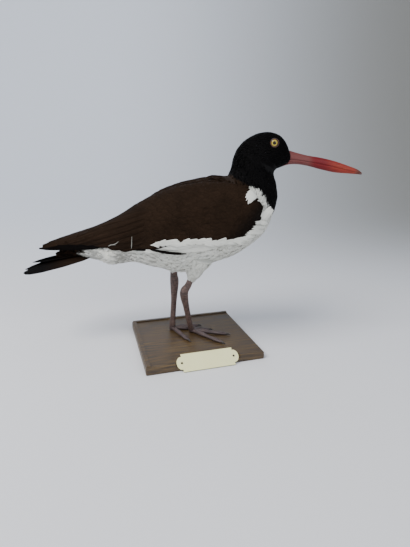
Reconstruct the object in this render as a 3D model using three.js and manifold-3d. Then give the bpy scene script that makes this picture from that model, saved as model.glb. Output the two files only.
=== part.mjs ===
// Life-size mounted oystercatcher on a wooden base with a small name plate.
// Millimetres, +Z up, beak towards +X, the bird's left side towards +Y,
// the origin at the middle of the underside of the base.
import * as THREE from "three";
import { mergeVertices } from "three/addons/utils/BufferGeometryUtils.js";
import Module from "manifold-3d";

const wasm = await Module();
wasm.setup();
const Solid = wasm.Manifold;

// base and name plate
const baseWidth = 140.7;
const baseDepth = 135.2;
const baseHeight = 9.6;
const baseTurn = 16.6;
const rimWidth = 4.5;
const rimHeight = 1.6;
const plateLength = 62;
const plateEnd = 6.2;
const plateNotch = 2.8;
const plateShift = 1.6;
const plateSlant = 21.2;
const plateThickness = 0.9;
const plateLean = 39.6;
const plateFoot = 4.8;
// clearances
const gap = 0.3;
const ground = baseHeight + gap;
// bird
const eyeSpot = new THREE.Vector3(92.7, 9.6, 246.6);
const eyeRadius = 5.6;

const materials = {
  wood: [0x4a2c1c, 0.5, 0],
  brass: [0xd9cfae, 0.35, 0.6],
  white: [0xd3d5d6, 0.9, 0],
  black: [0x16141a, 0.75, 0],
  brown: [0x2e211c, 0.85, 0],
  blackBrown: [0x1e1819, 0.8, 0],
  bill: [0xa8331c, 0.35, 0],
  eye: [0xc9a227, 0.1, 0],
  lid: [0x7a2f22, 0.6, 0],
  skin: [0x4a2b2c, 0.55, 0],
  claw: [0x2a2022, 0.4, 0],
};

const group = new THREE.Group();
const vec = (x, y, z) => new THREE.Vector3(x, y, z);
const rad = THREE.MathUtils.degToRad;
const mix = THREE.MathUtils.lerp;

function signedVolume(points, index) {
  let sum = 0;
  for (let i = 0; i < index.length; i += 3) {
    sum += points[index[i]].dot(points[index[i + 1]].clone().cross(points[index[i + 2]])) / 6;
  }
  return sum;
}

// Closed solid from any geometry, with its repeated corners merged.
function toSolid(geometry) {
  const bare = geometry.clone();
  bare.deleteAttribute("normal");
  bare.deleteAttribute("uv");
  const merged = mergeVertices(bare, 1e-4);
  return new Solid(new wasm.Mesh({
    numProp: 3,
    vertProperties: new Float32Array(merged.attributes.position.array),
    triVerts: new Uint32Array(merged.index.array),
  }));
}

function toGeometry(solid) {
  const mesh = solid.getMesh();
  const geometry = new THREE.BufferGeometry();
  geometry.setAttribute("position", new THREE.BufferAttribute(mesh.vertProperties, 3));
  geometry.setIndex(new THREE.BufferAttribute(mesh.triVerts, 1));
  geometry.computeVertexNormals();
  return geometry;
}

// Closed body through a row of rings that all have the same number of points.
function loft(rings) {
  const count = rings[0].length;
  const points = rings.flat();
  const index = [];
  for (let r = 0; r < rings.length - 1; r += 1) {
    for (let i = 0; i < count; i += 1) {
      const a = r * count + i;
      const b = r * count + ((i + 1) % count);
      index.push(a, b, b + count, a, b + count, a + count);
    }
  }
  const last = (rings.length - 1) * count;
  for (let i = 1; i < count - 1; i += 1) {
    index.push(0, i + 1, i);
    index.push(last, last + i, last + i + 1);
  }
  if (signedVolume(points, index) < 0) index.reverse();
  const geometry = new THREE.BufferGeometry();
  geometry.setAttribute("position", new THREE.Float32BufferAttribute(points.flatMap((p) => [p.x, p.y, p.z]), 3));
  geometry.setIndex(index);
  return toSolid(geometry);
}

// The outer surface of the biggest body.
function largest(solid) {
  return solid.decompose().sort((a, b) => b.volume() - a.volume())[0];
}

function add(name, solid, look) {
  const [color, roughness, metalness] = materials[look];
  const mesh = new THREE.Mesh(
    toGeometry(largest(solid)),
    new THREE.MeshStandardMaterial({ color, roughness, metalness, flatShading: true }),
  );
  mesh.name = name;
  group.add(mesh);
}

function block(sx, sy, sz, x, y, z) {
  const geometry = new THREE.BoxGeometry(sx, sy, sz);
  geometry.translate(x, y, z);
  return toSolid(geometry);
}

// Tube along a smooth line with its own radius at each point, flattened by flat.
function limb(points, radii, sides = 10, spans = 8, flat = 1) {
  const line = new THREE.CatmullRomCurve3(points, false, "centripetal");
  const girth = new THREE.SplineCurve(radii.map((r, i) => new THREE.Vector2(i, r)));
  const rings = [];
  for (let s = 0; s <= spans; s += 1) {
    const u = s / spans;
    const centre = line.getPoint(u);
    const along = line.getTangent(u);
    const across = vec(0, 0, 1).cross(along);
    if (across.length() < 0.3) across.set(0, 1, 0).addScaledVector(along, -along.y);
    across.normalize();
    const up = along.clone().cross(across);
    const radius = girth.getPoint(u).y;
    rings.push(Array.from({ length: sides }, (_, i) => {
      const angle = (i / sides) * Math.PI * 2;
      return centre.clone()
        .addScaledVector(across, Math.cos(angle) * radius)
        .addScaledVector(up, Math.sin(angle) * radius * flat);
    }));
  }
  return loft(rings);
}

// Flat outline in the XZ plane, extruded from one Y to another.
function curtain(outline, fromY, toY) {
  const shape = new THREE.Shape(outline.map(([x, z]) => new THREE.Vector2(x, z)));
  const geometry = new THREE.ExtrudeGeometry(shape, { depth: toY - fromY, bevelEnabled: false });
  geometry.rotateX(Math.PI / 2);
  geometry.translate(0, toY, 0);
  return toSolid(geometry);
}

// Wall of the clearance's thickness that follows a line in the XZ plane.
function wall(line, thickness, fromY = -80, toY = 80) {
  const there = [];
  const back = [];
  line.forEach(([x, z], i) => {
    const [ax, az] = line[Math.max(i - 1, 0)];
    const [bx, bz] = line[Math.min(i + 1, line.length - 1)];
    const length = Math.hypot(bx - ax, bz - az);
    const nx = (-(bz - az) / length) * (thickness / 2);
    const nz = ((bx - ax) / length) * (thickness / 2);
    there.push([x + nx, z + nz]);
    back.unshift([x - nx, z - nz]);
  });
  return curtain([...there, ...back], fromY, toY);
}

// The body from rump to forehead: upper line, lower line, half width, roundness.
const bodyStations = [
  [-158, 128, -152, 110, 7, 2.0],
  [-135, 138, -133, 111, 15, 2.0],
  [-108, 148, -111, 110, 24, 2.0],
  [-84, 161, -92, 106, 32, 2.0],
  [-58, 180, -68, 108, 38, 2.1],
  [-33, 195, -39, 101.5, 42.5, 2.15],
  [-7, 204, -5, 97.5, 44, 2.15],
  [16, 208.5, 32, 110, 43, 2.1],
  [31, 210.5, 62, 123.5, 39.5, 2.1],
  [40, 212, 88, 146, 33, 2.05],
  [42.5, 214.5, 99, 171, 27, 2.0],
  [45.5, 222, 101.8, 189, 22, 2.0],
  [49, 234.5, 99.5, 203, 19, 2.0],
  [54.5, 244.5, 97, 213, 17.4, 2.0],
  [63.5, 252.8, 100, 218, 16.8, 2.05],
  [76, 258.6, 105.5, 220.4, 15.6, 2.1],
  [89, 259.8, 110, 222.4, 13.2, 2.15],
  [100, 256.2, 113, 223.6, 10.4, 2.1],
  [107, 249.5, 114.6, 224.6, 7.8, 2.1],
  [111, 241.5, 115.5, 225.6, 5.8, 2.1],
];
const upperLine = new THREE.SplineCurve(bodyStations.map((s) => new THREE.Vector2(s[0], s[1])));
const lowerLine = new THREE.SplineCurve(bodyStations.map((s) => new THREE.Vector2(s[2], s[3])));
const girthLine = new THREE.SplineCurve(bodyStations.map((s) => new THREE.Vector2(s[4], s[5])));

function bodyRing(u, sides, grow) {
  const top = upperLine.getPoint(u);
  const bottom = lowerLine.getPoint(u);
  const girth = girthLine.getPoint(u);
  const half = top.distanceTo(bottom) / 2;
  const up = top.clone().sub(bottom).normalize();
  const centre = top.clone().add(bottom).multiplyScalar(0.5);
  return Array.from({ length: sides }, (_, i) => {
    const angle = (i / sides) * Math.PI * 2;
    const c = Math.cos(angle);
    const s = Math.sin(angle);
    const across = Math.sign(c) * Math.abs(c) ** (2 / girth.y) * (girth.x + grow);
    const along = Math.sign(s) * Math.abs(s) ** (2 / girth.y) * (half + grow);
    return vec(centre.x + up.x * along, across, centre.y + up.y * along);
  });
}

function bodyForm(sides, spans, grow) {
  const rings = [];
  for (let s = 0; s <= spans; s += 1) rings.push(bodyRing(s / spans, sides, grow));
  return loft(rings);
}

// Wing surface: x, lower edge z, upper edge z, y at the lower edge, in the middle, at the upper edge.
const wingStations = [
  [79, 177, 181, 34, 35, 34],
  [72, 163, 192, 38, 40, 32],
  [56, 149.6, 201, 42, 45, 23],
  [28, 135, 205, 46, 48.5, 19],
  [0, 130.5, 203, 46.5, 49, 18],
  [-30, 130.8, 195, 44.5, 47, 15],
  [-58, 132.5, 182.5, 40, 42.5, 11],
  [-86, 132.5, 165, 33, 35, 6],
  [-114, 133.2, 152, 25, 26.5, 3],
  [-146, 131.5, 141.5, 16.5, 17.5, 3],
  [-170, 128, 133.5, 11.5, 12, 5],
  [-188, 124.5, 127, 8, 8.4, 7],
];

function wingStation(x) {
  let k = 0;
  while (k < wingStations.length - 2 && wingStations[k + 1][0] > x) k += 1;
  const p0 = wingStations[Math.max(k - 1, 0)];
  const p1 = wingStations[k];
  const p2 = wingStations[k + 1];
  const p3 = wingStations[Math.min(k + 2, wingStations.length - 1)];
  const t = THREE.MathUtils.clamp((x - p1[0]) / (p2[0] - p1[0]), 0, 1);
  const span = p2[0] - p1[0];
  return p1.map((value, i) => {
    const m1 = k === 0 ? p2[i] - value : ((p2[i] - p0[i]) / (p2[0] - p0[0])) * span;
    const m2 = p3 === p2 ? p2[i] - value : ((p3[i] - value) / (p3[0] - p1[0])) * span;
    const t2 = t * t;
    const t3 = t2 * t;
    return (2 * t3 - 3 * t2 + 1) * value + (t3 - 2 * t2 + t) * m1
      + (3 * t2 - 2 * t3) * p2[i] + (t3 - t2) * m2;
  });
}

// Outward distance of the wing's surface from the middle plane at a point seen from the side.
function wingReach(x, z) {
  const [, low, high, yLow, yMid, yHigh] = wingStation(x);
  const b = THREE.MathUtils.clamp((z - low) / (high - low), 0, 1);
  const swell = 0.42;
  if (b < swell) return yLow + (yMid - yLow) * (1 - ((swell - b) / swell) ** 2);
  const q = (b - swell) / (1 - swell);
  return yHigh + (yMid - yHigh) * Math.sqrt(1 - q * q);
}

function wingForm(side) {
  const rings = [];
  const steps = 9;
  const lengths = 26;
  for (let s = 0; s <= lengths; s += 1) {
    const x = mix(79, -188, s / lengths);
    const [, low, high] = wingStation(x);
    const depth = Math.min(5, Math.max(1.2, (high - low) * 0.12));
    const outer = [];
    const inner = [];
    for (let i = 0; i <= steps; i += 1) {
      const b = 0.5 - 0.5 * Math.cos((i / steps) * Math.PI);
      const z = mix(low, high, b);
      const y = wingReach(x, z);
      outer.push(vec(x, y * side, z));
      inner.unshift(vec(x, (y - depth) * side, mix(low, high, 0.5 + (b - 0.5) * 0.98)));
    }
    rings.push([...outer, ...inner]);
  }
  return loft(rings);
}

// base, standing turned under the bird
const turned = (solid) => solid.rotate([0, 0, baseTurn]);
function boardForm() {
  const edge = 0.8;
  const rings = [[0, -edge], [edge, 0], [baseHeight - edge, 0], [baseHeight, -edge]].map(([z, inset]) => {
    const x = baseWidth / 2 + inset;
    const y = baseDepth / 2 + inset;
    return [vec(-x, -y, z), vec(x, -y, z), vec(x, y, z), vec(-x, y, z)];
  });
  return loft(rings);
}
const rimInset = 1;
const rim = block(baseWidth - 2 * rimInset, rimWidth, rimHeight + 1, 0,
  baseDepth / 2 - rimInset - rimWidth / 2, baseHeight + rimHeight / 2 - 0.5)
  .add(block(rimWidth, baseDepth - 2 * rimInset, rimHeight + 1,
    -baseWidth / 2 + rimInset + rimWidth / 2, 0, baseHeight + rimHeight / 2 - 0.5));

// name plate: long strip with rounded ends, leaning back on a bevel of the front edge
function plateOutline(grow) {
  const half = plateLength / 2 + grow;
  const tall = plateSlant / 2 + grow;
  const shape = new THREE.Shape();
  const lobe = half + plateEnd * 4 / 3;
  shape.moveTo(-half, -tall);
  shape.lineTo(half, -tall);
  shape.lineTo(half - 0.6, -tall + plateNotch);
  shape.bezierCurveTo(lobe, -tall + plateNotch, lobe, tall - plateNotch, half - 0.6, tall - plateNotch);
  shape.lineTo(half, tall);
  shape.lineTo(-half, tall);
  shape.lineTo(-half + 0.6, tall - plateNotch);
  shape.bezierCurveTo(-lobe, tall - plateNotch, -lobe, -tall + plateNotch, -half + 0.6, -tall + plateNotch);
  return shape;
}
function onPlate(geometry, lift) {
  geometry.translate(0, plateSlant / 2, lift);
  geometry.rotateX(rad(plateLean));
  geometry.translate(plateShift, -baseDepth / 2 - plateFoot, 0.8);
  return turned(toSolid(geometry));
}
const plateSolid = onPlate(new THREE.ExtrudeGeometry(plateOutline(0),
  { depth: plateThickness, bevelEnabled: false, curveSegments: 8 }), 0);
const plateSeat = onPlate(new THREE.BoxGeometry(plateLength + 2 * plateEnd + 3, plateSlant + 16, 20), 10 - gap);
function plateHole(side, radius, depth) {
  const geometry = new THREE.CylinderGeometry(radius, radius, depth, 14);
  geometry.rotateX(Math.PI / 2);
  geometry.translate((side * plateLength) / 2, 0, 0);
  return geometry;
}
add("base_board", turned(boardForm().add(rim)).subtract(plateSeat), "wood");
const pins = [-1, 1].map((side) => onPlate(plateHole(side, 1.0, 1.6), plateThickness + 0.2));
const pinHoles = [-1, 1].map((side) => onPlate(plateHole(side, 1.0 + gap, 4), plateThickness + 1.4));
add("name_plate", pinHoles.reduce((solid, hole) => solid.subtract(hole), plateSolid), "brass");
add("plate_pin_right", pins[0], "claw");
add("plate_pin_left", pins[1], "claw");

// body, parted into breast and belly, back, and neck with head
const neckLine = [[30, 222], [46, 211], [66, 199.5], [78, 192], [86, 181.5], [92, 173], [99, 168], [112, 164]];
const backLine = [[66, 199.5], [56, 186], [30, 172], [-20, 160], [-70, 148], [-120, 130], [-175, 122]];
const headLine = [[40, 232], [62, 227], [84, 219], [104, 209], [118, 204]];
const body = bodyForm(36, 44, 0);
const bodyClear = bodyForm(36, 44, gap);
const pieces = body.subtract(wall(neckLine, gap)).subtract(wall(backLine, gap));
const upperPart = curtain([...neckLine, [140, 164], [140, 280], [20, 280]], -80, 80);
const backPart = curtain([...backLine, [-175, 230], [30, 222], [46, 211]], -80, 80);
const hood = pieces.intersect(upperPart);
add("torso", pieces.subtract(upperPart).subtract(backPart), "white");
add("mantle", pieces.intersect(backPart).subtract(upperPart), "brown");
const headPart = curtain([...headLine, [140, 200], [140, 280], [20, 280], [20, 236]], -80, 80);
add("neck", hood.subtract(wall(headLine, gap)).subtract(headPart), "black");

// bill: upper and lower mandible either side of the mouth line
const billStations = [
  [104, 241, 229.8, 221, 4.6],
  [112, 239.2, 229.4, 223.5, 4.9],
  [122, 236.4, 228.4, 223.9, 4.5],
  [134, 233.6, 226.8, 222.2, 3.9],
  [150, 231, 224, 218.2, 3.4],
  [166, 227.2, 220.6, 214.9, 3.0],
  [182, 222, 217, 213.6, 2.4],
  [192, 218.4, 214.8, 212.9, 1.8],
  [197.5, 214.8, 213.4, 212.4, 0.9],
];
function billForm(part, grow) {
  const rings = billStations.map(([x, top, mid, low, wide], k) => {
    const reach = x + (k === billStations.length - 1 ? grow : 0);
    const from = part === "lower" ? low - grow : mid + gap / 2;
    const to = part === "upper" ? top + grow : mid - gap / 2;
    const half = wide + grow;
    const z = (v) => mix(from, to, v);
    if (part === "upper") {
      return [vec(reach, -half, z(0)), vec(reach, half, z(0)), vec(reach, half * 0.94, z(0.45)),
        vec(reach, half * 0.6, z(0.85)), vec(reach, 0, z(1)), vec(reach, -half * 0.6, z(0.85)),
        vec(reach, -half * 0.94, z(0.45))];
    }
    return [vec(reach, -half, z(1)), vec(reach, -half * 0.9, z(0.4)), vec(reach, -half * 0.45, z(0.06)),
      vec(reach, half * 0.45, z(0.06)), vec(reach, half * 0.9, z(0.4)), vec(reach, half, z(1))];
  });
  return loft(rings);
}
const nostril = [-1, 1].map((side) => limb([vec(121, side * 4.6, 231.4), vec(134, side * 4.0, 229.6)],
  [0.5, 0.7, 0.5], 8, 4));
add("bill_upper", nostril.reduce((solid, slit) => solid.subtract(slit), billForm("upper", 0)), "bill");
add("bill_lower", billForm("lower", 0), "bill");
const billRoom = billForm("upper", gap).add(billForm("lower", gap)).add(block(30, 8, 1.2, 104, 0, 229.6));

// head with sockets, eyes and lids
const eyes = [-1, 1].map((side) => {
  const spot = vec(eyeSpot.x, eyeSpot.y * side, eyeSpot.z);
  const ball = new THREE.SphereGeometry(eyeRadius, 20, 14);
  ball.translate(spot.x, spot.y, spot.z);
  const room = new THREE.SphereGeometry(eyeRadius + gap, 20, 14);
  room.translate(spot.x, spot.y, spot.z);
  return { side, spot, ball: toSolid(ball), room: toSolid(room) };
});
let head = hood.subtract(wall(headLine, gap)).intersect(headPart).subtract(billRoom);
eyes.forEach(({ room }) => { head = head.subtract(room); });
const lids = eyes.map(({ side, spot, room }) => {
  const ring = new THREE.TorusGeometry(4.9, 1.0, 8, 24);
  ring.scale(1.06, 0.98, 1);
  ring.rotateX(Math.PI / 2);
  ring.rotateZ(rad(-12 * side));
  ring.translate(spot.x + 0.5, spot.y + side * 3.3, spot.z);
  return toSolid(ring).subtract(room);
});
const lidRoom = eyes.map(({ side, spot }) => {
  const ring = new THREE.TorusGeometry(4.9, 1.0 + gap, 8, 24);
  ring.scale(1.06, 0.98, 1);
  ring.rotateX(Math.PI / 2);
  ring.rotateZ(rad(-12 * side));
  ring.translate(spot.x + 0.5, spot.y + side * 3.3, spot.z);
  return toSolid(ring);
});
lidRoom.forEach((room) => { head = head.subtract(room); });
add("head", head, "black");
["right", "left"].forEach((name, i) => {
  add(`eye_${name}`, eyes[i].ball, "eye");
  add(`lid_${name}`, lids[i], "lid");
});

// wings lie over the body
["right", "left"].forEach((name, i) => {
  add(`wing_${name}`, wingForm(i ? 1 : -1).subtract(bodyClear).trimByPlane([0, i ? 1 : -1, 0], gap), "brown");
});

// tail: a flat fan that slopes down behind the rump
const tailRings = [[-146, 13, 119, 8], [-160, 17, 115, 9], [-180, 21, 108, 7], [-197, 21, 101.5, 4.5],
  [-207, 13, 97, 2]].map(([x, half, z, thick]) => {
  const points = [];
  for (let i = 0; i <= 8; i += 1) {
    const q = i / 4 - 1;
    points.push(vec(x, q * half, z + thick / 2 - 2.5 * q * q));
  }
  for (let i = 8; i >= 0; i -= 1) {
    const q = i / 4 - 1;
    points.push(vec(x, q * half, z - thick / 2 - 2.5 * q * q));
  }
  return points;
});
const wingRoom = [-1, 1].map((side) => wingForm(side));
add("tail", loft(tailRings).subtract(bodyClear).subtract(wingRoom[0].translate([0, 0, -0.4]))
  .subtract(wingRoom[1].translate([0, 0, -0.4])), "blackBrown");

// legs: feathered thigh, bare leg with its heel joint, three front toes with claws
const legs = {
  right: {
    girth: [3.4, 4.0, 5.2, 3.8, 3.5, 3.9],
    thigh: [vec(11, -20, 122), vec(5.5, -15.5, 107), vec(1.8, -13.1, 95.5)],
    leg: [vec(1.6, -13, 95), vec(-4, -12.6, 82.5), vec(-9.4, -12, 72), vec(-7.2, -4, 50), vec(-3.2, 5.6, 22),
      vec(-1.5, 10.1, 13.4)],
    toes: [
      [vec(-1.5, 10.1, 13), vec(10, 0, 12.6), vec(24, -12.5, 12), vec(36, -22.6, 11.6)],
      [vec(-1.5, 10.1, 13), vec(13, 6.8, 12.8), vec(29, 4, 12), vec(42.5, 1.2, 11.6)],
      [vec(-1.5, 10.1, 13), vec(6, 11.4, 12.8), vec(14, 13, 12.2), vec(20, 14.6, 11.6)],
    ],
  },
  left: {
    girth: [4.2, 4.7, 5.6, 3.8, 3.7, 4.1],
    thigh: [vec(-12, 21, 124), vec(-19, 18.5, 111), vec(-22.6, 17.2, 99)],
    leg: [vec(-22.8, 17.1, 98.5), vec(-23.8, 17, 88), vec(-23.3, 17, 77), vec(-24.6, 17.4, 52), vec(-26.8, 18, 24),
      vec(-27.6, 18.2, 13.4)],
    toes: [
      [vec(-27.6, 18.2, 13), vec(-19, 5, 12.8), vec(-11, -7.6, 12), vec(-5.4, -15.6, 11.6)],
      [vec(-27.6, 18.2, 13), vec(-15, 17.6, 12.8), vec(-2, 17.6, 12), vec(8.5, 17.8, 11.6)],
      [vec(-27.6, 18.2, 13), vec(-17, 22.4, 12.8), vec(-5, 25.6, 12), vec(5, 28.2, 11.6)],
    ],
  },
};
Object.entries(legs).forEach(([name, { girth, thigh, leg, toes }]) => {
  const floor = block(400, 400, 40, 0, 0, ground - 20);
  const thighSolid = limb(thigh, [19, 12, 5.2], 16, 8).subtract(bodyClear);
  add(`thigh_${name}`, thighSolid, "white");
  const legSolid = limb(leg, girth, 12, 24)
    .trimByPlane([0, 0, 1], 14.2);
  add(`leg_${name}`, legSolid.subtract(limb(thigh, [19 + gap, 12 + gap, 5.2 + gap], 16, 8)), "skin");
  let foot = limb([leg[4], leg[5], leg[5].clone().add(vec(0.6, 0, -3))], [girth[4], girth[5], 3.2], 12, 6);
  toes.forEach((toe) => {
    foot = foot.add(limb(toe, [3.2, 2.7, 2.5, 2.0], 10, 9, 0.9));
  });
  add(`foot_${name}`, foot.subtract(floor).trimByPlane([0, 0, -1], -14.2 + gap), "skin");
  toes.forEach((toe, k) => {
    const end = toe[3];
    const aim = end.clone().sub(toe[2]).normalize();
    const from = end.clone().addScaledVector(aim, gap);
    const tip = from.clone().addScaledVector(aim, 5.5);
    tip.z = ground + 0.5;
    const claw = limb([from, from.clone().lerp(tip, 0.5).add(vec(0, 0, 0.7)), tip], [1.5, 1.2, 0.4], 8, 4);
    add(`claw_${name}_${k + 1}`, claw.subtract(floor), "claw");
  });
});

export default group;
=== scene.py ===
import math

import bmesh
import bpy
import numpy as np
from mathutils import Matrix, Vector


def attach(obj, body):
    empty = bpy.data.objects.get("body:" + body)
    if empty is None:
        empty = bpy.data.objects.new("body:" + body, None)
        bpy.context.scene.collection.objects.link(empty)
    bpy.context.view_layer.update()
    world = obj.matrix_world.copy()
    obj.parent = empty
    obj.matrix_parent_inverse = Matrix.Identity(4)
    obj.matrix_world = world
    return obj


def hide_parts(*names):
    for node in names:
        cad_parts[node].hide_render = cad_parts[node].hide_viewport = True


# Mounted oystercatcher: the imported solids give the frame, and skin, feathers, bill, eyes, legs,
# board and plate are finished here. Lengths in the tables are millimetres.
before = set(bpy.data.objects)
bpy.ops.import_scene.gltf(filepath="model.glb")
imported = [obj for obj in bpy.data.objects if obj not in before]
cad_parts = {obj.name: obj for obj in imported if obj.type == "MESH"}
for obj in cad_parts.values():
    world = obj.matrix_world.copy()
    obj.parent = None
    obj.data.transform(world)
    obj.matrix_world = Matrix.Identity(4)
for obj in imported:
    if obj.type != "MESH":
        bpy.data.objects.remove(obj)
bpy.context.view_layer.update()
mm = 0.001


# Shader helpers
class Graph:
    def __init__(self, name):
        self.material = bpy.data.materials.new(name)
        self.material.use_nodes = True
        self.tree = self.material.node_tree
        self.tree.nodes.clear()
        self.out = self.tree.nodes.new("ShaderNodeOutputMaterial")
        self.skin = self.tree.nodes.new("ShaderNodeBsdfPrincipled")
        self.tree.links.new(self.skin.outputs[0], self.out.inputs[0])

    def node(self, kind, settings=None, inputs=None, output=0):
        made = self.tree.nodes.new(kind)
        for key, value in (settings or {}).items():
            setattr(made, key, value)
        for key, value in (inputs or {}).items():
            self.feed(made.inputs[key], value)
        return Value(self, made.outputs[output])

    def feed(self, socket, value):
        if isinstance(value, Value):
            self.tree.links.new(value.socket, socket)
        else:
            socket.default_value = value

    def set(self, **inputs):
        for key, value in inputs.items():
            self.feed(self.skin.inputs[key.replace("_", " ")], value)
        return self.material

    def attribute(self, name, output=2):
        return self.node("ShaderNodeAttribute", {"attribute_name": name}, None, output)

    def place(self):
        return self.node("ShaderNodeTexCoord", None, None, 3)

    def axes(self, vector):
        split = self.tree.nodes.new("ShaderNodeSeparateXYZ")
        self.feed(split.inputs[0], vector)
        return [Value(self, split.outputs[i]) for i in range(3)]

    def join(self, x, y, z):
        return self.node("ShaderNodeCombineXYZ", None, {0: x, 1: y, 2: z})

    def noise(self, vector, scale, detail=3, rough=0.5):
        return self.node("ShaderNodeTexNoise", None,
                         {"Vector": vector, "Scale": scale, "Detail": detail, "Roughness": rough})

    def color(self, factor, first, second):
        made = self.tree.nodes.new("ShaderNodeMix")
        made.data_type = "RGBA"
        self.feed(made.inputs[0], factor)
        for index, value in ((6, first), (7, second)):
            self.feed(made.inputs[index], value if isinstance(value, Value) else (*value, 1))
        return Value(self, made.outputs[2])

    def bump(self, height, strength, distance):
        inputs = {"Height": height, "Strength": strength, "Distance": distance}
        return self.node("ShaderNodeBump", None, inputs)


class Value:
    def __init__(self, graph, socket):
        self.graph = graph
        self.socket = socket

    def math(self, kind, *others):
        return self.graph.node("ShaderNodeMath", {"operation": kind}, dict(enumerate((self, *others))))

    def __add__(self, other):
        return self.math("ADD", other)

    def __sub__(self, other):
        return self.math("SUBTRACT", other)

    def __mul__(self, other):
        return self.math("MULTIPLY", other)

    def abs(self):
        return self.math("ABSOLUTE")

    def sin(self):
        return self.math("SINE")

    def power(self, other):
        return self.math("POWER", other)

    def ramp(self, low, high, start=0.0, end=1.0):
        return self.graph.node("ShaderNodeMapRange", {"interpolation_type": "SMOOTHSTEP"},
                               {0: self, 1: low, 2: high, 3: start, 4: end})


# Mesh helpers
def placed(name, data):
    thing = bpy.data.objects.new(name, data)
    bpy.context.scene.collection.objects.link(thing)
    return thing


def meshPiece(name, verts, faces, material, attributes=None, corner=None):
    mesh = bpy.data.meshes.new(name)
    mesh.from_pydata([tuple(v) for v in np.asarray(verts) * mm], [], [tuple(f) for f in faces])
    mesh.validate()
    mesh.polygons.foreach_set("use_smooth", [True] * len(mesh.polygons))
    for key, values in (attributes or {}).items():
        values = np.asarray(values, dtype=float)
        kind, label = ("FLOAT", "value") if values.ndim == 1 else ("FLOAT_VECTOR", "vector")
        mesh.attributes.new(key, kind, "POINT").data.foreach_set(label, values.ravel())
    if corner is not None:
        layer = mesh.uv_layers.new(name="OFBake")
        index = np.empty(len(mesh.loops), dtype=int)
        mesh.loops.foreach_get("vertex_index", index)
        layer.data.foreach_set("uv", np.asarray(corner, dtype=float)[index].ravel())
    mesh.update()
    if material:
        mesh.materials.append(material)
    return placed(name, mesh)


def outward(thing):
    work = bmesh.new()
    work.from_mesh(thing.data)
    bmesh.ops.recalc_face_normals(work, faces=work.faces)
    work.to_mesh(thing.data)
    work.free()
    return thing


def finishPiece(piece, slotName, *nodes):
    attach(piece, "root")
    if nodes:
        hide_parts(*nodes)
    piece.data.calc_loop_triangles()
    print(piece.name, len(piece.data.loop_triangles))
    return piece


def solidPiece(name, verts, faces, material, slotName, *nodes, attributes=None, corner=None):
    piece = outward(meshPiece(name, verts, faces, material, attributes, corner))
    return finishPiece(piece, slotName, *nodes)


def ringFaces(rows, count, closed=True):
    faces = []
    for r in range(rows - 1):
        for i in range(count if closed else count - 1):
            j = (i + 1) % count
            faces.append((r * count + i, r * count + j, (r + 1) * count + j, (r + 1) * count + i))
    return faces


def cappedRings(rows, count):
    first = tuple(range(count))[::-1]
    last = tuple(range((rows - 1) * count, rows * count))
    return ringFaces(rows, count) + [first, last]


def tube(points, radii, sides=20, spans=40, flat=1.0):
    points = np.array(points, dtype=float)
    t = np.linspace(0, len(points) - 1, spans + 1)
    line = np.stack([spline(points[:, k], t) for k in range(3)], 1)
    girth = spline(np.array(radii, dtype=float), np.linspace(0, len(radii) - 1, spans + 1))
    along = np.gradient(line, axis=0)
    along /= np.linalg.norm(along, axis=1)[:, None]
    across = np.cross([0, 0, 1.0], along)
    weak = np.linalg.norm(across, axis=1) < 0.3
    across[weak] = np.array([0, 1.0, 0]) - along[weak] * along[weak][:, 1:2]
    across /= np.linalg.norm(across, axis=1)[:, None]
    up = np.cross(along, across)
    angle = np.linspace(0, 2 * math.pi, sides, endpoint=False)
    ring = (across[:, None] * np.cos(angle)[None, :, None] * girth[:, None, None]
            + up[:, None] * np.sin(angle)[None, :, None] * girth[:, None, None] * flat)
    verts = (line[:, None] + ring).reshape(-1, 3)
    reach = np.repeat(np.linspace(0, 1, spans + 1), sides)
    return verts, cappedRings(spans + 1, sides), reach


def hermite(f, start, end, leave, arrive):
    return ((2 * f ** 3 - 3 * f ** 2 + 1) * start + (f ** 3 - 2 * f ** 2 + f) * leave
            + (3 * f ** 2 - 2 * f ** 3) * end + (f ** 3 - f ** 2) * arrive)


def spline(values, t):
    n = len(values)
    k = np.minimum(t.astype(int), n - 2)
    before = values[np.maximum(k - 1, 0)]
    start = values[k]
    end = values[k + 1]
    after = values[np.minimum(k + 2, n - 1)]
    return hermite(t - k, start, end, (end - before) * 0.5, (after - start) * 0.5)


def join(parts):
    verts, faces, extras, start = [], [], [], 0
    for part in parts:
        verts.append(np.asarray(part[0]))
        faces += [tuple(i + start for i in f) for f in part[1]]
        extras.append(np.asarray(part[2]))
        start += len(part[0])
    return np.concatenate(verts), faces, np.concatenate(extras)


def smoothstep(x, low, high):
    t = np.clip((x - low) / (high - low), 0, 1)
    return t * t * (3 - 2 * t)


def lineHeight(line, x):
    xs = np.array([p[0] for p in line], dtype=float)
    zs = np.array([p[1] for p in line], dtype=float)
    order = np.argsort(xs)
    return np.interp(x, xs[order], zs[order])


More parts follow.
